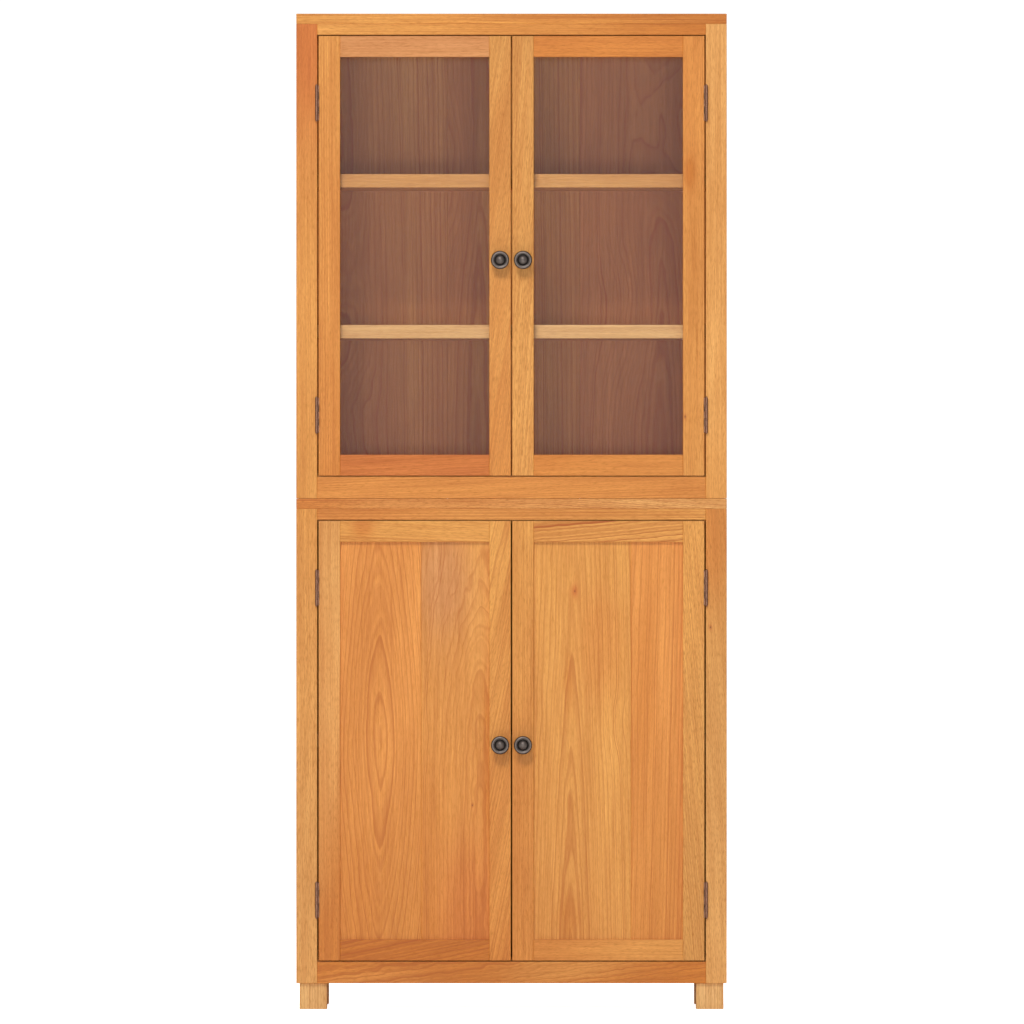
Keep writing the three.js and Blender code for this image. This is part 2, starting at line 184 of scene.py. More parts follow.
class Shader:
    """A material being made, with its Principled surface."""

    def __init__(self, name):
        self.material = bpy.data.materials.new(name)
        self.material.use_nodes = True
        self.tree = self.material.node_tree
        self.surface = self.tree.nodes["Principled BSDF"]

    def add(self, kind, settings=None, sockets=None, output=0):
        """A node of any kind: its settings, then its sockets, and one of its outputs."""
        node = self.tree.nodes.new(kind)
        for name, setting in (settings or {}).items():
            if name == "stops":
                ramp = node.color_ramp
                while len(ramp.elements) < len(setting):
                    ramp.elements.new(1.0)
                for element, (place, level) in zip(ramp.elements, setting):
                    element.position = place
                    element.color = (level, level, level, 1)
            else:
                setattr(node, name, setting)
        for name, given in (sockets or {}).items():
            if isinstance(given, Value):
                self.tree.links.new(given.socket, node.inputs[name])
            else:
                node.inputs[name].default_value = given
        return Value(self, node.outputs[output])

    def maths(self, operation, *terms):
        return self.add("ShaderNodeMath", {"operation": operation}, dict(enumerate(terms)))

    def set(self, **levels):
        """Constants of the surface, such as Metallic, with _ for a space."""
        for name, level in levels.items():
            self.surface.inputs[name.replace("_", " ")].default_value = level

    def drive(self, name, value):
        self.tree.links.new(value.socket, self.surface.inputs[name])

    def ramp(self, value, *stops):
        return self.add("ShaderNodeValToRGB", {"stops": stops}, {"Fac": value})

    def mix(self, factor, a, b, blend="MIX"):
        settings = {"data_type": "RGBA", "blend_type": blend}
        return self.add("ShaderNodeMix", settings, {0: factor, 6: a, 7: b}, output=2)

    def noise(self, vector, along, across, detail=2.0, roughness=0.5):
        """Noise of so many cells a metre, along and across the grain."""
        settings = {"operation": "MULTIPLY"}
        scale = (along, across, across)
        vector = self.add("ShaderNodeVectorMath", settings, {0: vector, 1: scale})
        sockets = {"Vector": vector, "Scale": 1.0, "Detail": detail, "Roughness": roughness}
        return self.add("ShaderNodeTexNoise", {}, sockets)

    def bump(self, height, strength, distance):
        sockets = {"Height": height, "Strength": strength, "Distance": distance}
        self.drive("Normal", self.add("ShaderNodeBump", {}, sockets))

# ---- finishes

BOW_FLAT = 0.06  # length over which a bowed board's grain turns round, in metres
POINTEDNESS = 1.55  # 2 gives round cathedrals, 1 pointed ones
AXES = {"x": Vector((1, 0, 0)), "y": Vector((0, 1, 0)), "z": Vector((0, 0, 1))}


class Figure:
    """How a board was sawn from its log, with these settings or others given."""

    heart, side = 45, 60  # mm, the log's middle: depth behind the face, distance across
    ring, curl = 3.2, 0.0  # mm, spacing of the growth rings, waviness of the grain
    tilt, bow = 0.01, 0.0  # slopes, how that depth grows along the board and to both ends
    slant = 0.0  # degrees, angle of the grain
    contrast, streak, fleck = 0.45, 0.5, 0.42  # strengths of growth lines, fibres and pores
    # Metres along and across from the board's middle
    swirls = ()  # bulges of the rings: (along, across, length, width, depth)
    knots = ()  # pin knots: (along, across, radius)
    blushes = ()  # patches of another tone: (along, across, length, width, tone, strength)

    def __init__(self, **given):
        self.__dict__.update(given)

    def radius(self, shader, place, depth, grainy):
        """Distance from the log's middle, which the growth rings follow."""
        u, across = place
        wander = shader.noise(grainy, 2.6, 10.0, detail=3.0) - 0.5
        ripple = shader.noise(grainy, 10.0, 60.0, detail=3.0) - 0.5
        reach = (u * u + BOW_FLAT * BOW_FLAT).maths("SQRT") - BOW_FLAT
        heart = depth + u * self.tilt + reach * self.bow + self.heart * MM + wander * 0.024
        side = across - self.side * MM + wander * 0.012
        if self.curl:
            curl = shader.noise(grainy, 26.0, 48.0, detail=1.5) - 0.5
            heart = heart + curl * (self.curl * MM)
        for swirl_u, swirl_v, reach_u, reach_v, lift in self.swirls:
            heart = heart + hill(u, across, (swirl_u, swirl_v, reach_u, reach_v)) * lift
        power = heart.maths("ABSOLUTE") ** POINTEDNESS + side.maths("ABSOLUTE") ** POINTEDNESS
        return power ** (1 / POINTEDNESS) + ripple * 0.0028


def colour(tone):
    return (*getattr(tones(), tone), 1.0)


def hill(along, across, place):
    """1 at a place on the board, falling smoothly to 0 round it."""
    u, v, reach_u, reach_v = place
    far_u = (along - u) * (1 / reach_u)
    far_v = (across - v) * (1 / reach_v)
    spread = far_u * far_u + far_v * far_v
    return 1 / (spread * spread + 1)


def oak(name, low, high, grain, face, style):
    """Oiled oak for one board: growth rings of a log, fibres, pores and pin knots."""
    (near_tone, far_tone), figure = style
    shader = Shader(name + "_oak")
    middle = (low + high) / 2
    along, normal = AXES[grain], AXES[face]
    across = along.cross(normal)
    slant = radians(figure.slant)
    turn = Matrix((
        along * cos(slant) + across * sin(slant), normal, across * cos(slant) - along * sin(slant),
    ))
    place = shader.add("ShaderNodeMapping", {"vector_type": "POINT"}, {
        "Vector": shader.add("ShaderNodeTexCoord", {}, {}, output="Object"),
        "Location": -(turn @ middle),
        "Rotation": turn.to_euler(),
    })
    length_half = abs((high - low).dot(along)) / 2
    parts = shader.add("ShaderNodeSeparateXYZ", {}, {0: place}).socket.node.outputs
    u, depth, across = (Value(shader, part) for part in parts)
    chance = random.Random(name)
    offset = tuple(chance.uniform(-9, 9) for _ in range(3))
    grainy = shader.add("ShaderNodeVectorMath", {"operation": "ADD"}, {0: place, 1: offset})

    rings = figure.radius(shader, (u, across), depth, grainy) * (1 / (figure.ring * MM))
    one_way = {"noise_dimensions": "1D"}
    uneven = shader.add("ShaderNodeTexNoise", one_way, {"W": rings * 0.21, "Detail": 1.0})
    rings = rings + uneven * 1.6
    phase = rings.maths("FRACT")
    band = shader.ramp(phase, (0.0, 0.0), (0.40, 0.12), (0.74, 1.0), (0.88, 0.8), (1.0, 0.0))
    season = shader.add("ShaderNodeTexNoise", one_way, {"W": rings * 0.37, "Detail": 2.0})
    band = band * shader.ramp(season, (0.3, 0.3), (0.7, 1.0))

    fibres = shader.noise(grainy, 9.0, 330.0, detail=4.0, roughness=0.62) - 0.5
    streaks = shader.noise(grainy, 3.0, 75.0, detail=3.0, roughness=0.6) - 0.5
    drift = shader.noise(grainy, 2.2, 9.0, detail=3.0) - 0.5
    pores = shader.noise(grainy, 90.0, 900.0, detail=2.0)
    pores = shader.ramp(pores, (0.48, 0.0), (0.70, 1.0)) * (band * -0.5 + 1.0)

    far = u * (0.5 / length_half) + drift * 1.2 + 0.5
    far = shader.ramp(far, (0.0, 0.0), (1.0, 1.0))
    ground = shader.mix(far, colour(near_tone), colour(far_tone))
    for patch_u, patch_v, reach_u, reach_v, tone, strength in figure.blushes:
        patch = hill(u, across, (patch_u, patch_v, reach_u, reach_v))
        ground = shader.mix(patch * strength, ground, colour(tone))
    light = (fibres * 1.5 + streaks * 1.1) * figure.streak + drift * 0.6
    light = shader.add("ShaderNodeCombineColor", {}, {
        0: light * 0.65 + 1.0, 1: light + 1.0, 2: light * 1.5 + 1.0,
    })
    ground = shader.mix(1.0, ground, light, "MULTIPLY")
    ground = shader.mix(band * (figure.contrast * 1.3), ground, colour("latewood"))
    ground = shader.mix(pores * figure.fleck, ground, colour("pore"))
    for knot_u, knot_v, knot_radius in figure.knots:
        ring = hill(u, across, (knot_u, knot_v, knot_radius * 2.6, knot_radius * 1.5))
        eye = hill(u, across, (knot_u, knot_v, knot_radius * 0.8, knot_radius * 0.55))
        ground = shader.mix(ring * 0.5, ground, colour("heartwood"))
        ground = shader.mix(eye * 0.7, ground, (0.07, 0.025, 0.01, 1))
    shader.drive("Base Color", ground)
    shader.drive("Roughness", 0.46 + band * 0.08 + pores * 0.2 + fibres * 0.12)
    shader.bump(fibres * 0.35 - pores - band * 0.25, 0.3, 0.0003)
    shader.set(Specular_IOR_Level=0.3)
    return shader.material


def metal(name, hollow, high, roughness, metallic=0.9, painted_front_sheen=False):
    """Cast metal with a dark patina, rubbed brighter on edges, and if asked a painted reflection:
    only faces turned to the front keep the brighter tone.
    """
    shader = Shader(name)
    here = shader.add("ShaderNodeTexCoord", {}, {}, output="Object")
    cloud = shader.noise(here, 160.0, 160.0, detail=4.0, roughness=0.65)
    speck = shader.noise(here, 900.0, 900.0, detail=2.0)
    edge = shader.add("ShaderNodeNewGeometry", {}, {}, output="Pointiness")
    wear_and_painted_sheen = shader.ramp(edge, (0.44, 0.0), (0.58, 1.0)) + (cloud - 0.5) * 0.6
    wear_and_painted_sheen = shader.ramp(wear_and_painted_sheen, (0.1, 0.0), (0.9, 1.0))
    # Painted reflection and shade: faces turned to the front keep the lighter tone, faces turned
    # aside are painted dark.
    if painted_front_sheen:
        normal = shader.add("ShaderNodeNewGeometry", {}, {}, output="Normal")
        parts = shader.add("ShaderNodeSeparateXYZ", {}, {0: normal}).socket.node.outputs
        wear_and_painted_sheen = wear_and_painted_sheen * shader.ramp(Value(shader, parts[1]) * -1.0, (0.42, 0.0), (0.85, 1.0))
    shader.drive("Base Color", shader.mix(wear_and_painted_sheen, colour(hollow), colour(high)))
    shader.drive("Roughness", roughness + (cloud - 0.5) * 0.25 - wear_and_painted_sheen * 0.08)
    shader.bump(cloud * 0.5 + speck * 0.25, 0.25, 0.0003)
    shader.set(Metallic=metallic)
    return shader.material


def pane_glass():
    """Clear glass with a faint brown tint, which lets light through to the shelves."""
    shader = Shader("door_glass")
    here = shader.add("ShaderNodeTexCoord", {}, {}, output="Object")
    waves = shader.noise(here, 3.0, 3.0, detail=1.0)
    shader.set(Base_Color=colour("glass"), Alpha=0.06, Specular_IOR_Level=0.5)
    shader.drive("Roughness", 0.02 + waves * 0.02)
    return shader.material


def moulding():
    """Brown moulded plastic of the catches."""
    shader = Shader("catch_plastic")
    here = shader.add("ShaderNodeTexCoord", {}, {}, output="Object")
    grain = shader.noise(here, 1500.0, 1500.0, detail=2.0)
    shader.set(Base_Color=colour("catch"))
    shader.drive("Roughness", 0.45 + grain * 0.15)
    shader.bump(grain, 0.2, 0.0002)
    return shader.material

# ---- bench tools


def deselect():
    bpy.ops.object.select_all(action="DESELECT")


def pick(piece):
    """Makes a piece the only one selected, and active."""
    deselect()
    piece.select_set(True)
    bpy.context.view_layer.objects.active = piece


def settle(piece, name):
    """Names a piece and puts its place and turn into its mesh."""
    pick(piece)
    bpy.ops.object.transform_apply(location=True, rotation=True, scale=True)
    piece.name = name
    piece.data.name = name
    return piece


def modify(piece, kind, **settings):
    """Adds a modifier and applies it."""
    pick(piece)
    modifier = piece.modifiers.new(kind.lower(), kind)
    for name, setting in settings.items():
        setattr(modifier, name, setting)
    bpy.ops.object.modifier_apply(modifier=modifier.name)


def block(name, low, high):
    """A box between two corners."""
    low, high = Vector(low), Vector(high)
    deselect()
    bpy.ops.mesh.primitive_cube_add(size=1, location=(low + high) / 2, scale=high - low)
    return settle(bpy.context.object, name)


def ease(piece, width, segments=2):
    """Rounds every sharp edge of a piece."""
    modify(
        piece, "BEVEL", width=width, segments=segments, limit_method="ANGLE",
        angle_limit=radians(40),
    )


def cut_away(piece, *tools):
    """Cuts other pieces' shapes out of a piece, and removes those pieces."""
    for tool in tools:
        modify(piece, "BOOLEAN", operation="DIFFERENCE", solver="EXACT", object=tool)
        bpy.data.objects.remove(tool)


def rod(name, radius, middle, height, axis="z", sides=32):
    """A round bar along one axis."""
    turns = {"x": (0, pi / 2, 0), "y": (pi / 2, 0, 0), "z": (0, 0, 0)}
    deselect()
    bpy.ops.mesh.primitive_cylinder_add(
        vertices=sides, radius=radius, depth=height, location=middle, rotation=turns[axis],
    )
    return settle(bpy.context.object, name)


def smooth(piece, angle=35):
    pick(piece)
    bpy.ops.object.shade_smooth_by_angle(angle=radians(angle))


def joined(name, pieces):
    """Several shapes as one piece."""
    deselect()
    for piece in pieces:
        piece.select_set(True)
    bpy.context.view_layer.objects.active = pieces[0]
    bpy.ops.object.join()
    return settle(bpy.context.object, name)


def copied(piece, name, location, rotation=(0, 0, 0)):
    """A copy with its own mesh, put in place."""
    copy = piece.copy()
    copy.data = piece.data.copy()
    bpy.context.scene.collection.objects.link(copy)
    copy.location = location
    copy.rotation_euler = rotation
    return settle(copy, name)


def finish(piece, material, slot, body, *nodes):
    """Paints a piece and ties it to the frame."""
    piece.data.materials.clear()
    piece.data.materials.append(material)
    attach(piece, body)
    if nodes:
        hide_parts(*nodes)
    return piece


def body_of(node):
    for body, nodes in frame["record"]["behaviour"]["bodies"].items():
        if node in nodes:
            return body
    raise ValueError(node)


def board(name, node, low, high, grain, face, style, cutters=(), slot="oak"):
    """A planed oak board with eased edges, which stands for a node of the frame."""
    low, high = Vector(low), Vector(high)
    piece = block(name, low, high)
    ease(piece, min(sizes().arris, min(high - low) * 0.2))
    cut_away(piece, *cutters)
    finish(piece, oak(name, low, high, grain, face, style), slot, body_of(node), node)


def planks(name, node, low, high, grain, face, across, cuts, looks, cutter=None, slot="oak"):
    """A glued-up panel: boards side by side along one axis, meeting at the cuts."""
    index = "xyz".index(across)
    edges = [low[index], *cuts, high[index]]
    for number, (start, end) in enumerate(zip(edges, edges[1:])):
        first, last = Vector(low), Vector(high)
        first[index], last[index] = start, end
        style = looks[number % len(looks)]
        cutters = cutter(number) if cutter else []
        board(f"{name}_{number + 1}", node, first, last, grain, face, style, cutters, slot)


def evenly(low, high, count):
    """The inner cuts that part a width into equal boards."""
    return [low + (high - low) * i / count for i in range(1, count)]


def fronts():
    """Each door's module, its side and that side's sign."""
    return [(module, side, sign) for module in MODULES for side, sign in SIDES.items()]

# ---- the boards' looks

STRAIGHT = dict(heart=34, side=95, tilt=0.01, ring=3.4, contrast=0.28)
RIFT = dict(heart=60, side=70, tilt=0.012, ring=3.6, contrast=0.30)
CROWN = dict(heart=20, side=0, tilt=0.03, ring=4.6, contrast=0.5)
CURLED = dict(CROWN, ring=9, contrast=0.75, streak=0.6)


def look(kind, near_tone, far_tone=None, **changes):
    """The tones of a board's low end and its high end, if another, and its figure."""
    return (near_tone, far_tone or near_tone), Figure(**{**kind, **changes})


POST_LOOKS = {
    "upper_left": look(
        RIFT, "honey", blushes=((0.44, 0, 0.2, 0.05, "russet", 1.0),), contrast=0.4,
    ),
    "upper_right": look(STRAIGHT, "honey", "straw"),
    "lower_left": look(RIFT, "straw", "honey", fleck=0.5),
    "lower_right": look(
        STRAIGHT, "straw", "olive", fleck=0.55, slant=3,
        blushes=((0.4, 0, 0.14, 0.05, "caramel", 0.8),),
        knots=((0.221, -0.001, 0.002), (-0.303, -0.014, 0.002)),
    ),
}
TOP_BOARD_LOOKS = {
    "upper": look(RIFT, "wheat", "chestnut", contrast=0.45, streak=0.8),
    "lower": look(RIFT, "caramel", "straw", slant=5, contrast=0.7, fleck=0.6),
}
TOP_RAIL_LOOKS = {
    "upper": look(STRAIGHT, "wheat", "chestnut", contrast=0.45),
    "lower": look(STRAIGHT, "amber", "wheat", contrast=0.6, ring=5),
}
BOTTOM_RAIL_LOOKS = {
    "upper": look(RIFT, "amber", slant=2, contrast=0.4),
    "lower": look(
        RIFT, "chestnut", heart=40, side=40, tilt=0.05, ring=8, contrast=0.6, slant=5,
        curl=16, blushes=((-0.26, 0, 0.12, 0.03, "amber", 0.9), (0.1, 0, 0.12, 0.03, "honey", 0.8)),
    ),
}
STILE_LOOKS = {
    "upper_left_hinge": look(STRAIGHT, "caramel", "honey", contrast=0.45, ring=4.5),
    "upper_left_knob": look(STRAIGHT, "amber", "olive", slant=-9, fleck=0.6, contrast=0.35),
    "upper_right_knob": look(RIFT, "honey", "olive", slant=-4, fleck=0.6, contrast=0.4),
    "upper_right_hinge": look(
        RIFT, "honey", "amber", knots=((-0.299, 0.016, 0.002),), curl=3,
        blushes=((0.155, 0.007, 0.03, 0.01, "chestnut", 0.9),),
    ),
    "lower_left_hinge": look(RIFT, "caramel", "straw", fleck=0.45),
    "lower_left_knob": look(RIFT, "caramel", "wheat", slant=-12, ring=5, contrast=0.45),
    "lower_right_knob": look(STRAIGHT, "amber", "wheat", contrast=0.35),
    "lower_right_hinge": look(RIFT, "olive", "wheat", slant=5, fleck=0.6, contrast=0.45),
}
RAIL_LOOKS = {
    "upper_left_top": look(STRAIGHT, "salmon", contrast=0.2),
    "upper_left_bottom": look(RIFT, "russet", contrast=0.5, slant=3),
    "upper_right_top": look(RIFT, "caramel", contrast=0.25),
    "upper_right_bottom": look(STRAIGHT, "caramel", "amber", contrast=0.25),
    "lower_left_top": look(
        RIFT, "wheat", ring=6, slant=-3, contrast=0.35,
        blushes=((-0.097, 0.004, 0.02, 0.02, "caramel", 0.9),),
    ),
    "lower_left_bottom": look(
        RIFT, "chestnut", heart=30, side=50, ring=8, slant=11, contrast=0.8, curl=3,
    ),
    "lower_right_top": look(
        RIFT, "wheat", heart=40, side=50, ring=9, contrast=1.0, curl=7, slant=5,
    ),
    "lower_right_bottom": look(STRAIGHT, "amber", "honey", contrast=0.25),
}
PANEL_LOOKS = {
    "left": [
        look(
            CROWN, "amber", "tangerine", heart=22, side=-2, tilt=0.0, bow=0.12, ring=7,
            contrast=0.55, fleck=0.22, blushes=((-0.3, 0.04, 0.12, 0.04, "caramel", 0.6),),
        ),
        look(
            CROWN, "caramel", "honey", heart=24, side=-42, tilt=0.0, ring=7.5, curl=9,
            contrast=0.4, fleck=0.25, knots=((-0.12, -0.028, 0.0015),),
            swirls=((0.42, -0.04, 0.24, 0.12, 0.06),),
            blushes=(
                (-0.05, -0.055, 0.16, 0.008, "chestnut", 0.8),
                (0.3, 0.03, 0.1, 0.05, "salmon", 0.9), (-0.33, -0.02, 0.14, 0.05, "russet", 0.7),
            ),
        ),
    ],
    "right": [
        look(
            CROWN, "honey", "wheat", heart=32, side=17, tilt=0.05, ring=7, contrast=0.5, fleck=0.25,
            knots=((0.278, 0.010, 0.0014),), swirls=((0.03, -0.065, 0.05, 0.02, 0.014),),
            blushes=(
                (0.11, 0.022, 0.05, 0.009, "chestnut", 0.5),
                (0.278, 0.010, 0.012, 0.006, "russet", 0.9),
                (0.18, -0.04, 0.1, 0.04, "amber", 0.8), (-0.33, 0.022, 0.04, 0.02, "chestnut", 0.5),
            ),
        ),
        look(
            RIFT, "amber", "tangerine", ring=6.5, contrast=0.45, slant=-2, fleck=0.25,
            blushes=(
                (0.1, 0.03, 0.2, 0.02, "caramel", 0.8), (0.05, -0.05, 0.2, 0.006, "russet", 0.6),
            ),
        ),
    ],
}
PLAIN_LOOKS = [
    look(RIFT, "honey", "wheat", ring=4.6, contrast=0.4),
    look(STRAIGHT, "wheat", "honey"),
    look(CROWN, "amber", "honey", bow=0.06, heart=35),
]
PALE_LOOKS = [look(STRAIGHT, "cream"), look(RIFT, "straw", "cream")]
SHELF_LOOKS = {
    "lower_shelf": PALE_LOOKS,
    "upper_shelf_low": PALE_LOOKS,
    "upper_shelf_high": [look(RIFT, "olive", slant=2), look(STRAIGHT, "straw", "cream")],
}
BACK_LOOKS = [
    look(
        CURLED, "dawn", "dusk", heart=26, side=70, curl=10, tilt=0.05,
        swirls=((-0.32, 0.05, 0.14, 0.06, 0.05), (0.0, 0.08, 0.1, 0.05, 0.04)),
        blushes=((0.1, -0.09, 0.9, 0.03, "olive", 0.7), (0.0, 0.1, 0.9, 0.03, "dawn", 0.8)),
    ),
    look(
        CURLED, "dusk", heart=30, side=66, curl=5, tilt=0.03,
        swirls=((0.16, 0.11, 0.12, 0.03, 0.03),), blushes=((0.1, 0.1, 0.4, 0.03, "dawn", 0.8),),
    ),
    look(
        CURLED, "dawn", heart=30, side=-20, curl=7, tilt=0.05,
        swirls=((-0.1, 0.05, 0.12, 0.05, 0.04), (0.25, -0.03, 0.14, 0.05, 0.04)),
    ),
]
FOOT_LOOK = look(STRAIGHT, "cream", contrast=0.4, ring=5)

# ---- the case


class CABINET_OT_posts(bpy.types.Operator):
    """Front posts, let in for the hinge leaves"""

    bl_idname = "cabinet.posts"
    bl_label = "Front posts"

    def execute(self, context):
        for module, side, sign in fronts():
            node = f"{module}_side_{side}"
            low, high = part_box(node)
            ends = sorted((sign * OPENING_HALF, sign * HALF_WIDTH))
            first = (ends[0], FRONT, low.z)
            last = (ends[1], FRONT + sizes().frame_thickness, high.z)
            cutters = leaf_seats(f"{module}_{side}_door", "frame", sign * OPENING_HALF)
            style = POST_LOOKS[f"{module}_{side}"]
            board(f"{module}_post_{side}", node, first, last, "z", "y", style, cutters)
        return {"FINISHED"}


def leaf_seats(door, kind, edge):
    """The shallow recesses that the leaves of a door's two hinges lie in."""
    room, deep = 0.3 * MM, sizes().leaf
    seats = []
    for place in ("bottom", "top"):
        low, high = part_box(f"{door}_{place}_hinge_{kind}_leaf")
        first = (edge - deep, FRONT - 2 * MM, low.z - room)
        seats.append(block("leaf_seat", first, (edge + deep, high.y + room, high.z + room)))
    return seats


class CABINET_OT_sides(bpy.types.Operator):
    """Side panels, glued up from three boards and rebated for the back"""

    bl_idname = "cabinet.sides"
    bl_label = "Side panels"

    def execute(self, context):
        size = sizes()
        for module, side, sign in fronts():
            node = f"{module}_side_{side}"
            low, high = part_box(node)
            ends = sorted((sign * INNER_HALF, sign * HALF_WIDTH))
            first = Vector((ends[0], FRONT + size.frame_thickness, low.z))
            last = Vector((ends[1], BACK, high.z))
            reach = sorted((sign * (INNER_HALF - MM), sign * (INNER_HALF + size.back_rebate)))

            def rebate(number):
                """The rearmost of the three boards is cut back for the back panel."""
                if number < 2:
                    return []
                return [block(
                    "rebate",
                    (reach[0], BACK - size.back_thickness, low.z - CUT_PAST),
                    (reach[1], BACK + CUT_PAST, high.z + CUT_PAST),
                )]

            looks = PLAIN_LOOKS if sign < 0 else PLAIN_LOOKS[::-1]
            cuts = evenly(first.y, last.y, 3)
            planks(node, node, first, last, "z", "x", "y", cuts, looks, rebate)
        return {"FINISHED"}


class CABINET_OT_rails(bpy.types.Operator):
    """Front rails of each case, and the strip that the doors close against"""

    bl_idname = "cabinet.rails"
    bl_label = "Front rails"

    def execute(self, context):
        size = sizes()
        for module in MODULES:
            top, base = f"{module}_top_rail", f"{module}_base"
            post_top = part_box(f"{module}_side_left")[1].z
            base_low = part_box(base)[0].z
            door_low, door_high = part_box(f"{module}_left_door_hinge_stile")
            gap = round(door_low.z - base_low, 3) - size.rail_height
            back = FRONT + size.frame_thickness
            board(
                top, top, (-OPENING_HALF, FRONT, door_high.z + gap),
                (OPENING_HALF, back, post_top), "x", "y", TOP_RAIL_LOOKS[module],
            )
            board(
                f"{module}_door_strip", top, (-INNER_HALF, back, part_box(top)[0].z),
                (INNER_HALF, back + size.stop_depth, post_top), "x", "y", PLAIN_LOOKS[0],
            )
            board(
                f"{module}_bottom_rail", base, (-OPENING_HALF, FRONT, base_low),
                (OPENING_HALF, back, door_low.z - gap), "x", "y", BOTTOM_RAIL_LOOKS[module],
            )
        return {"FINISHED"}


class CABINET_OT_floors(bpy.types.Operator):
    """Floor boards and shelves, glued up from two boards each"""

    bl_idname = "cabinet.floors"
    bl_label = "Floors and shelves"

    def execute(self, context):
        size = sizes()
        back = BACK - size.back_thickness
        for module in MODULES:
            node = f"{module}_base"
            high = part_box(node)[1]
            front = FRONT + size.frame_thickness
            first = Vector((-INNER_HALF, front, high.z - size.floor_thickness))
            last = Vector((INNER_HALF, back, high.z))
            cuts = evenly(first.y, last.y, 2)
            planks(f"{module}_floor", node, first, last, "x", "z", "y", cuts, PLAIN_LOOKS)
        for node in ("lower_shelf", "upper_shelf_low", "upper_shelf_high"):
            low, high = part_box(node)
            first = Vector((-INNER_HALF, low.y, low.z))
            last = Vector((INNER_HALF, back, high.z))
            cuts = evenly(low.y, back, 2)
            planks(node, node, first, last, "x", "z", "y", cuts, SHELF_LOOKS[node])
        return {"FINISHED"}


class CABINET_OT_tops(bpy.types.Operator):
    """Top board of each case, glued up from three boards"""

    bl_idname = "cabinet.tops"
    bl_label = "Top boards"

    def execute(self, context):
        for module in MODULES:
            node = f"{module}_top_board"
            low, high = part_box(node)
            first = Vector((low.x, low.y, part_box(f"{module}_side_left")[1].z))
            looks = [TOP_BOARD_LOOKS[module], *PLAIN_LOOKS[:2]]
            planks(node, node, first, high, "x", "z", "y", evenly(low.y, high.y, 3), looks)
        return {"FINISHED"}


BACK_CUTS = (0.346, 0.664)  # joints of the back boards, as shares of its width


class CABINET_OT_backs(bpy.types.Operator):
    """Back of each case: three wide boards"""

    bl_idname = "cabinet.backs"
    bl_label = "Backs"

    def execute(self, context):
        for module in MODULES:
            node = f"{module}_back_panel"
            low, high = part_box(node)
            width = high.x - low.x
            cuts = [low.x + width * cut for cut in BACK_CUTS]
            planks(node, node, low, high, "z", "y", "x", cuts, BACK_LOOKS, slot="back_oak")
        return {"FINISHED"}


BLOCK_ROOM = 0.3 * MM  # between a glue block and the side panel


class CABINET_OT_feet(bpy.types.Operator):
    """Square feet and the glue blocks over them"""

    bl_idname = "cabinet.feet"
    bl_label = "Feet"

    def execute(self, context):
        size = sizes()
        foot_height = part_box("lower_side_left")[0].z
        foot_starts = (FRONT + size.foot_inset, BACK - size.foot_inset - size.foot_width)
        block_starts = (
            FRONT + size.frame_thickness, BACK - size.back_thickness - size.glue_block,
        )
        for end, foot_start, block_start in zip(("front", "back"), foot_starts, block_starts):
            for side, sign in SIDES.items():
                node = f"foot_{end}_{side}"
                self.square(
                    node, node, sign * (HALF_WIDTH - size.foot_inset), sign * size.foot_width,
                    foot_start, (0, foot_height), FOOT_LOOK,
                )
                self.square(
                    f"glue_block_{end}_{side}", node, sign * (INNER_HALF - BLOCK_ROOM),
                    sign * size.glue_block, block_start, (foot_height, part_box(node)[1].z),
                    PLAIN_LOOKS[1],
                )
        return {"FINISHED"}

    def square(self, name, node, outer, inward, start, heights, style):
        """A square upright block, from its outer face inward."""
        ends = sorted((outer, outer - inward))
        board(
            name, node, (ends[0], start, heights[0]),
            (ends[1], start + abs(inward), heights[1]), "z", "y", style,
        )

# ---- the doors


def infill_node(module, side):
    return f"{module}_{side}_door_" + ("glass" if module == "upper" else "panel")


class CABINET_OT_door_frames(bpy.types.Operator):
    """Stiles and rails of the four doors, grooved for the glass or the panel"""

    bl_idname = "cabinet.door_frames"
    bl_label = "Door frames"

    def execute(self, context):
        for module, side, sign in fronts():
            self.stiles(module, side, sign)
            self.rails(module, side)
        return {"FINISHED"}

    def stiles(self, module, side, sign):
        infill_low, infill_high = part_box(infill_node(module, side))
        for kind in ("hinge", "knob"):
            node = f"{module}_{side}_door_{kind}_stile"
            low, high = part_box(node)
            outward = sign if kind == "hinge" else -sign
            inner = low.x if outward > 0 else high.x
            reach = sorted((inner - outward * MM, inner + outward * sizes().groove))
            groove = block(
                "groove", (reach[0], infill_low.y, infill_low.z - MM),
                (reach[1], infill_high.y, infill_high.z + MM),
            )
            cutters = [groove]
            if kind == "hinge":
                edge = high.x if sign > 0 else low.x
                cutters += leaf_seats(f"{module}_{side}_door", "door", edge)
            style = STILE_LOOKS[f"{module}_{side}_{kind}"]
            board(node, node, low, high, "z", "y", style, cutters)

    def rails(self, module, side):
        infill_low, infill_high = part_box(infill_node(module, side))
        inner = sorted(
            corner.x
            for kind in ("hinge", "knob")
            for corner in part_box(f"{module}_{side}_door_{kind}_stile")
        )[1:3]
        for place in ("top", "bottom"):
            node = f"{module}_{side}_door_{place}_rail"
            low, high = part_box(node)
            if place == "top":
                reach = (low.z - MM, infill_high.z + MM)
            else:
                reach = (infill_low.z - MM, high.z + MM)
            groove = block(
                "groove", (inner[0] - MM, infill_low.y, reach[0]),
                (inner[1] + MM, infill_high.y, reach[1]),
            )
            board(
                node, node, (inner[0], low.y, low.z), (inner[1], high.y, high.z),
                "x", "y", RAIL_LOOKS[f"{module}_{side}_{place}"], [groove],
            )


PANEL_JOINTS = {"left": -168 * MM, "right": 222 * MM}  # where each panel's two boards meet


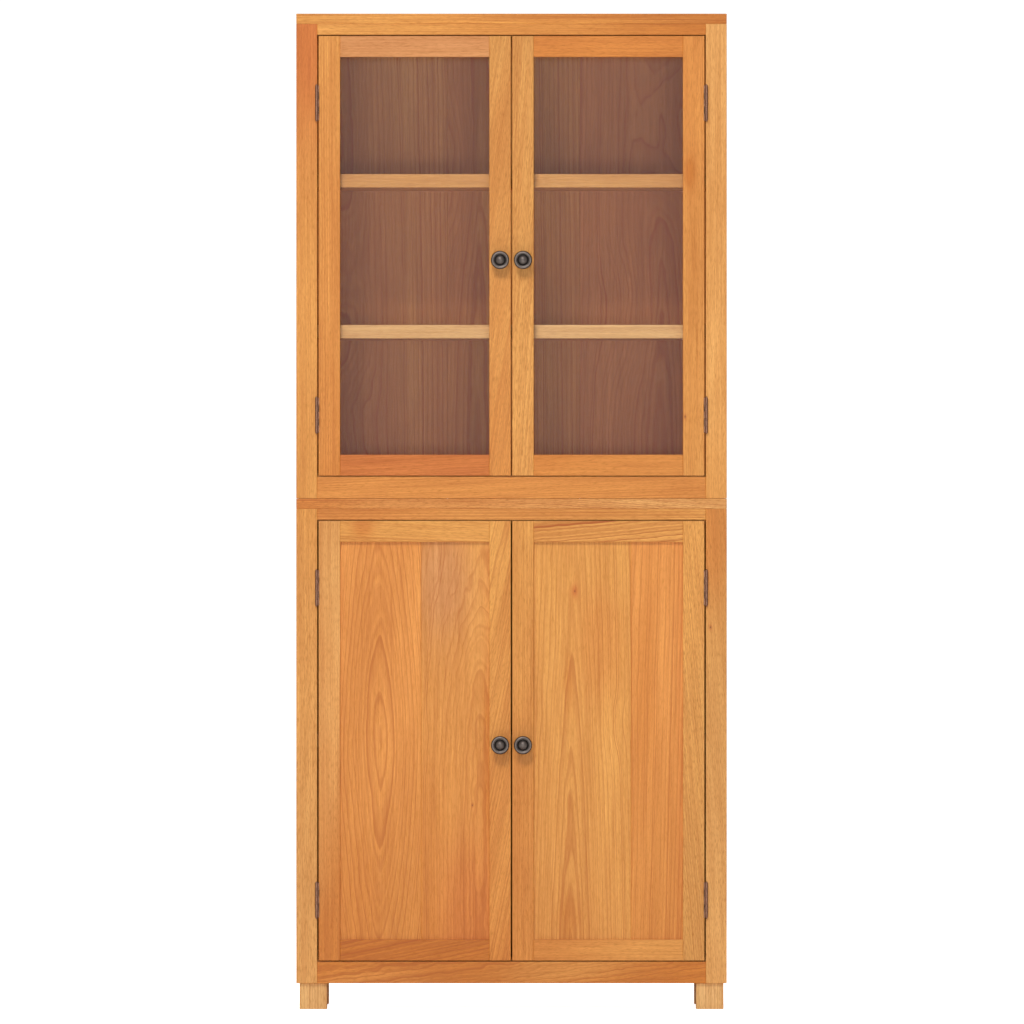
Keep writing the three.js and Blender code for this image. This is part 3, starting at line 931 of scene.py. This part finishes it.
class CABINET_OT_panels(bpy.types.Operator):
    """Panels of the lower doors, glued up from two boards each"""

    bl_idname = "cabinet.panels"
    bl_label = "Door panels"

    def execute(self, context):
        for side, joint in PANEL_JOINTS.items():
            node = f"lower_{side}_door_panel"
            low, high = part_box(node)
            planks(node, node, low, high, "z", "y", "x", [joint], PANEL_LOOKS[side])
        return {"FINISHED"}


class CABINET_OT_glass(bpy.types.Operator):
    """Glass of the upper doors, held in the grooves of their frames"""

    bl_idname = "cabinet.glass"
    bl_label = "Door glass"

    def execute(self, context):
        material = pane_glass()
        for side in SIDES:
            node = f"upper_{side}_door_glass"
            low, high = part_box(node)
            pane = block(node, low, high)
            ease(pane, 0.5 * MM, 1)
            finish(pane, material, "smoked_glass", f"upper_{side}_door", node)
        return {"FINISHED"}

# ---- turned and pressed metal


def turned(name, profile, sides):
    """A shape turned about Z from rings of (radius, height): each is extruded from the last."""
    deselect()
    radius, height = profile[0]
    bpy.ops.mesh.primitive_circle_add(
        vertices=sides, radius=radius * MM, fill_type="NGON", location=(0, 0, height * MM),
    )
    piece = bpy.context.object
    bpy.ops.object.mode_set(mode="EDIT")
    bpy.ops.mesh.select_all(action="SELECT")
    for (last_radius, last_height), (radius, height) in zip(profile, profile[1:]):
        bpy.ops.mesh.extrude_region_move(
            TRANSFORM_OT_translate={"value": (0, 0, (height - last_height) * MM)},
        )
        scale = radius / last_radius
        bpy.ops.transform.resize(value=(scale, scale, 1), center_override=(0, 0, height * MM))
    bpy.ops.mesh.select_all(action="SELECT")
    bpy.ops.mesh.normals_make_consistent(inside=False)
    bpy.ops.object.mode_set(mode="OBJECT")
    return settle(piece, name)


def arc(middle, radius, start, end, steps):
    """Points of an arc in the (radius, height) plane, angles in degrees."""
    turns = [radians(start + (end - start) * i / steps) for i in range(steps + 1)]
    return [(middle[0] + radius * cos(turn), middle[1] + radius * sin(turn)) for turn in turns]


def knob_profile():
    """Rings of a knob from its foot to its dome, in millimetres."""
    return [
        (9.0, 0.0), (9.0, 1.3), (8.6, 1.8),
        *arc((12.4, 7.2), 6.6, 225, 142, 7),
        *arc((7.6, 19.8), 8.9, -52, -4, 6)[1:],
        (17.0, 20.1), (16.8, 21.0), (16.3, 21.9), (15.6, 22.8), (14.8, 23.4), (13.9, 23.7),
        (13.0, 23.5), (11.9, 22.9), (10.9, 22.4), (10.2, 21.6), (9.6, 21.3), (9.0, 21.6),
        (8.6, 22.4),
        *arc((0.001, 18.1), 9.9, 34, 86, 9),
    ]


class CABINET_OT_knobs(bpy.types.Operator):
    """Turned metal knobs and their screws"""

    bl_idname = "cabinet.knobs"
    bl_label = "Knobs"

    def execute(self, context):
        # The last argument gives the knobs the painted reflection on their faces that turn to the
        # front.
        dark = metal("knob_gunmetal", "gunmetal", "sheen", 0.5, 0.6, True)
        pattern = turned("knob_pattern", knob_profile(), 56)
        smooth(pattern, 32)
        screw = cross_head("knob_screw_pattern", 4.4, 2.0)
        for module, side, _ in fronts():
            door = f"{module}_{side}_door"
            node = f"{door}_knob"
            middle = sum(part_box(node), Vector()) / 2
            knob = copied(pattern, node, (middle.x, FRONT, middle.z), (pi / 2, 0, 0))
            finish(knob, dark, "antique_bronze", door, node)
            door_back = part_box(f"{door}_knob_stile")[1].y
            seat = (middle.x, door_back, middle.z)
            head = copied(screw, f"{node}_screw", seat, (-pi / 2, 0, 0))
            finish(head, dark, "antique_bronze", door)
        bpy.data.objects.remove(pattern)
        bpy.data.objects.remove(screw)
        return {"FINISHED"}


def cross_head(name, radius, height):
    """A domed screw head on its seat at z = 0, with a cross recess."""
    rim, flat = height * 0.35, radius * 0.45
    dome = [(radius, 0.0), (radius, rim), *arc((flat, rim), radius - flat, 10, 75, 4)]
    crown = min(height, max(level for _, level in dome))
    dome = [(ring, min(level, crown)) for ring, level in dome] + [(0.05 * radius, crown)]
    head = turned(name, dome, 28)
    slot, deep = radius * 0.16 * MM, height * 0.6 * MM
    reach, top = radius * 0.62 * MM, crown * MM
    arms = [
        block("recess", (-reach, -slot, top - deep), (reach, slot, top + MM)),
        block("recess", (-slot, -reach, top - deep), (slot, reach, top + MM)),
    ]
    cut_away(head, *arms)
    smooth(head)
    return head


KNUCKLES = 5
KNUCKLE_ROOM = 0.12 * MM  # at each end of a knuckle
NOTCH_ROOM = 0.3 * MM  # round the knuckles of the other leaf
LEAF_HALF = 0.7 * MM  # half the thickness of a leaf where it wraps the pin
SCREW_SPACING = 22 * MM
SCREW_SUNK = 0.35 * MM  # how far a hinge screw's head lies in its leaf


# In a hinge's own frame the pin is the Z axis, the post is at -X and the door at +X.
class CABINET_OT_hinges(bpy.types.Operator):
    """Barrel hinges: two leaves, knuckles, pin tips and countersunk screws"""

    bl_idname = "cabinet.hinges"
    bl_label = "Hinges"

    def execute(self, context):
        dark = metal("hinge_bronze", "bronze", "rubbed", 0.5)
        screw = cross_head("leaf_screw_pattern", 2.9, 0.9)
        patterns = {kind: self.leaf(kind) for kind in ("frame", "door")}
        for module, side, sign in fronts():
            for place in ("bottom", "top"):
                self.fit(f"{module}_{side}_door_{place}_hinge", sign, patterns, screw, dark)
        for pattern in (*patterns.values(), screw):
            bpy.data.objects.remove(pattern)
        return {"FINISHED"}

    def pin(self, name):
        """Where a hinge's pin stands, and its length, from its leaves."""
        low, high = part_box(f"{name}_frame_leaf")
        door_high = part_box(f"{name}_door_leaf")[1]
        y = low.y + sizes().barrel
        x = low.x + sizes().barrel if door_high.x > high.x else high.x - sizes().barrel
        return Vector((x, y, (low.z + high.z) / 2)), high.z - low.z

    def leaf(self, kind):
        """One leaf with its knuckles, from the size of the first hinge."""
        name = "lower_left_door_bottom_hinge"
        pin, tall = self.pin(name)
        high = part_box(f"{name}_{kind}_leaf")[1] - pin
        size = sizes()
        start, end = high.x - size.leaf, high.x
        face = FRONT - pin.y
        ends = [tall * (i / KNUCKLES - 0.5) for i in range(KNUCKLES + 1)]
        spans = list(zip(ends, ends[1:]))
        mine, others = (spans[::2], spans[1::2]) if kind == "frame" else (spans[1::2], spans[::2])
        depth = (0 if kind == "frame" else face, high.y)
        plate = block(f"{kind}_plate", (start, depth[0], -tall / 2), (end, depth[1], tall / 2))
        if kind == "frame":
            cut_away(plate, *(
                block(
                    "notch", (-size.barrel, -MM, first - NOTCH_ROOM),
                    (2 * size.barrel, face + NOTCH_ROOM, last + NOTCH_ROOM),
                )
                for first, last in others
            ))
        cut_away(plate, *(
            rod("hole", 1.7 * MM, (end, y, z), 8 * MM, "x", 20)
            for y, z in self.screws(high.y, face)
        ))
        ease(plate, 0.15 * MM, 1)
        shapes = [plate]
        for low_end, high_end in mine:
            first, last = low_end + KNUCKLE_ROOM, high_end - KNUCKLE_ROOM
            knuckle = rod("knuckle", size.barrel, (0, 0, (first + last) / 2), last - first, "z", 40)
            ease(knuckle, 0.3 * MM, 2)
            shapes.append(knuckle)
            if kind == "door":
                shapes += [
                    block("arm", (0.5 * size.barrel, -LEAF_HALF, first), (end, LEAF_HALF, last)),
                    block("wing", (start, -LEAF_HALF, first), (end, face + MM, last)),
                ]
        if kind == "frame":
            shapes += [self.tip(sign * tall / 2, sign) for sign in (-1, 1)]
        leaf = joined(f"{kind}_leaf_pattern", shapes)
        smooth(leaf)
        return leaf

    def tip(self, height, sign):
        """The rounded end of the pin."""
        tip = turned("tip", [(1.9, 0), (1.9, 0.5), *arc((0, 0.5), 1.9, 15, 80, 4)], 28)
        tip.rotation_euler = (0 if sign > 0 else pi, 0, 0)
        tip.location.z = height - sign * 0.2 * MM
        return settle(tip, "tip")

    def screws(self, far, face):
        """The three screws of a leaf, as (distance behind the pin, height)."""
        deep = far - face
        return [(face + deep * (0.68 if i == 0 else 0.42), i * SCREW_SPACING) for i in (-1, 0, 1)]

    def fit(self, name, sign, patterns, screw, dark):
        pin = self.pin(name)[0]
        turn = (0, pi, 0) if sign > 0 else (0, 0, 0)
        door = name.rsplit("_", 2)[0]
        for kind, body in (("frame", "case"), ("door", door)):
            node = f"{name}_{kind}_leaf"
            leaf = copied(patterns[kind], node, pin, turn)
            finish(leaf, dark, "antique_bronze", body, node)
            low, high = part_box(node)
            x = high.x if sign < 0 else low.x
            way = -sign if kind == "frame" else sign
            if kind == "door":
                x += sign * sizes().leaf
            for number, (y, z) in enumerate(self.screws(high.y - pin.y, FRONT - pin.y)):
                head = copied(
                    screw, f"{name}_{kind}_screw_{number + 1}",
                    (x - way * SCREW_SUNK, pin.y + y, pin.z + z), (0, way * pi / 2, 0),
                )
                finish(head, dark, "antique_bronze", body)


CATCH_ASIDE = 45 * MM  # from the middle of a knob stile to its catch
CATCH_HALF, CATCH_HEIGHT = 23 * MM, 13 * MM
MAGNET_HALF = 18 * MM
JAW_DROPS = (5 * MM, 10.4 * MM)  # of the two steel jaws, below the strip
JAW_THICKNESS = 1.4 * MM


class CABINET_OT_catches(bpy.types.Operator):
    """Magnetic catches under the top strips and the strike plates on the doors"""

    bl_idname = "cabinet.catches"
    bl_label = "Magnetic catches"

    def execute(self, context):
        plastic = moulding()
        plated = metal("plated_steel", "steel", "steel", 0.35)
        screw = cross_head("catch_screw_pattern", 3.0, 1.2)
        for module, side, sign in fronts():
            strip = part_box(f"{module}_top_rail")[0].z
            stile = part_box(f"{module}_{side}_door_knob_stile")
            x = (stile[0].x + stile[1].x) / 2 + sign * CATCH_ASIDE
            self.catch(f"{module}_{side}", x, strip, plastic, plated)
            self.plate(f"{module}_{side}", x, stile[1].y, strip, plated, screw)
        bpy.data.objects.remove(screw)
        return {"FINISHED"}

    def catch(self, name, x, top, plastic, plated):
        y = FRONT + sizes().frame_thickness
        body = block(
            "catch", (x - CATCH_HALF, y + 0.8 * MM, top - CATCH_HEIGHT),
            (x + CATCH_HALF, y + 15 * MM, top),
        )
        ease(body, 1.5 * MM, 3)
        jaws = [
            block(
                "jaw", (x - MAGNET_HALF, y + 0.4 * MM, top - drop),
                (x + MAGNET_HALF, y + 10 * MM, top - drop + JAW_THICKNESS),
            )
            for drop in JAW_DROPS
        ]
        for jaw in jaws:
            ease(jaw, 0.2 * MM, 1)
        finish(body, plastic, "oak", "case")
        body.name = f"{name}_catch"
        finish(joined(f"{name}_catch_magnet", jaws), plated, "antique_bronze", "case")

    def plate(self, name, x, face, top, plated, screw):
        strike = block(
            f"{name}_strike_plate", (x - MAGNET_HALF, face, top - CATCH_HEIGHT),
            (x + MAGNET_HALF, face + 0.7 * MM, top - MM),
        )
        ease(strike, 0.3 * MM, 2)
        door = f"{name}_door"
        finish(strike, plated, "antique_bronze", door)
        seat = (x, face + 0.5 * MM, top - 7 * MM)
        head = copied(screw, f"{name}_strike_screw", seat, (-pi / 2, 0, 0))
        finish(head, plated, "antique_bronze", door)


# ---- the stage


class CABINET_OT_stage(bpy.types.Operator):
    """Pale floor, soft studio lights, white surroundings and the camera"""

    bl_idname = "cabinet.stage"
    bl_label = "Stage"

    def execute(self, context):
        self.floor()
        self.surroundings()
        self.softbox("key_light", (-0.9, -4.6, 5.2), 1.6, 205)
        for side, sign in SIDES.items():
            self.softbox(f"fill_light_{side}", (sign * 1.3, -9.0, 0.9), 1.2, 88)
            self.softbox(f"back_light_{side}", (sign * 4.5, 4.0, 2.6), 2.0, 170)
        self.camera()
        return {"FINISHED"}

    def floor(self):
        deselect()
        bpy.ops.mesh.primitive_plane_add(size=200, location=(0, 0, 0))
        floor = settle(bpy.context.object, "floor")
        shader = Shader("pale_floor")
        here = shader.add("ShaderNodeTexCoord", {}, {}, output="Object")
        mottle = shader.noise(here, 6.0, 6.0, detail=3.0)
        seen = shader.add("ShaderNodeLightPath", {}, {}, output="Is Camera Ray")
        shader.drive("Emission Color", shader.mix(seen, (0, 0, 0, 1), (1, 1, 1, 1)))
        shader.set(Base_Color=colour("floor"), Emission_Strength=0.95)
        shader.drive("Roughness", 0.75 + (mottle - 0.5) * 0.1)
        floor.data.materials.append(shader.material)

    def surroundings(self):
        """White for the camera, and softer for the light it gives."""
        world = bpy.data.worlds.new("studio")
        world.use_nodes = True
        tree = world.node_tree
        background = tree.nodes["Background"]
        seen = tree.nodes.new("ShaderNodeLightPath")
        level = tree.nodes.new("ShaderNodeMapRange")
        level.inputs["To Min"].default_value = 0.26
        level.inputs["To Max"].default_value = 1.1
        tree.links.new(seen.outputs["Is Camera Ray"], level.inputs["Value"])
        tree.links.new(level.outputs["Result"], background.inputs["Strength"])
        background.inputs["Color"].default_value = (1, 1, 1, 1)
        bpy.context.scene.world = world

    def softbox(self, name, place, size, power):
        """A square light that shines at the middle of the cabinet."""
        deselect()
        bpy.ops.object.light_add(type="AREA", location=place)
        lamp = bpy.context.object
        lamp.name = name
        lamp.data.size = size
        lamp.data.energy = power
        aim = Vector((0, 0, 0.9)) - Vector(place)
        lamp.rotation_euler = aim.to_track_quat("-Z", "Y").to_euler()

    def camera(self):
        """Level with the middle of the cabinet and square to its doors."""
        distance, framed = 28.0, 1.9026
        deselect()
        bpy.ops.object.camera_add(
            location=(0.0009, FRONT - distance, 0.924), rotation=(pi / 2, 0, 0),
        )
        camera = bpy.context.object
        camera.name = "front_camera"
        camera.data.sensor_width = 36
        camera.data.lens = 36 * distance / framed
        bpy.context.scene.camera = camera
        bpy.context.scene.view_settings.view_transform = "Standard"

# ---- the add-on

STEPS = (
    CABINET_OT_stage, CABINET_OT_posts, CABINET_OT_sides, CABINET_OT_rails, CABINET_OT_floors,
    CABINET_OT_tops, CABINET_OT_backs, CABINET_OT_feet, CABINET_OT_door_frames,
    CABINET_OT_panels, CABINET_OT_glass, CABINET_OT_knobs, CABINET_OT_hinges, CABINET_OT_catches,
)


class CABINET_PT_sidebar(bpy.types.Panel):
    """The cabinet's colours, sizes and steps"""

    bl_idname = "CABINET_PT_sidebar"
    bl_label = "Oak pantry cabinet"
    bl_space_type = "VIEW_3D"
    bl_region_type = "UI"
    bl_category = "Cabinet"

    def draw(self, context):
        for group in (tones(), sizes()):
            column = self.layout.column()
            for name in group.__annotations__:
                column.prop(group, name)
        for step in STEPS:
            self.layout.operator(step.bl_idname)


CLASSES = (CabinetTones, CabinetSizes, *STEPS, CABINET_PT_sidebar)


def register():
    for cls in CLASSES:
        bpy.utils.register_class(cls)
    bpy.types.Scene.cabinet_tones = PointerProperty(type=CabinetTones)
    bpy.types.Scene.cabinet_sizes = PointerProperty(type=CabinetSizes)


def unregister():
    del bpy.types.Scene.cabinet_sizes
    del bpy.types.Scene.cabinet_tones
    for cls in reversed(CLASSES):
        bpy.utils.unregister_class(cls)


def main():
    register()
    for step in STEPS:
        group, name = step.bl_idname.split(".")
        getattr(getattr(bpy.ops, group), name)()


if __name__ == "__main__":
    main()
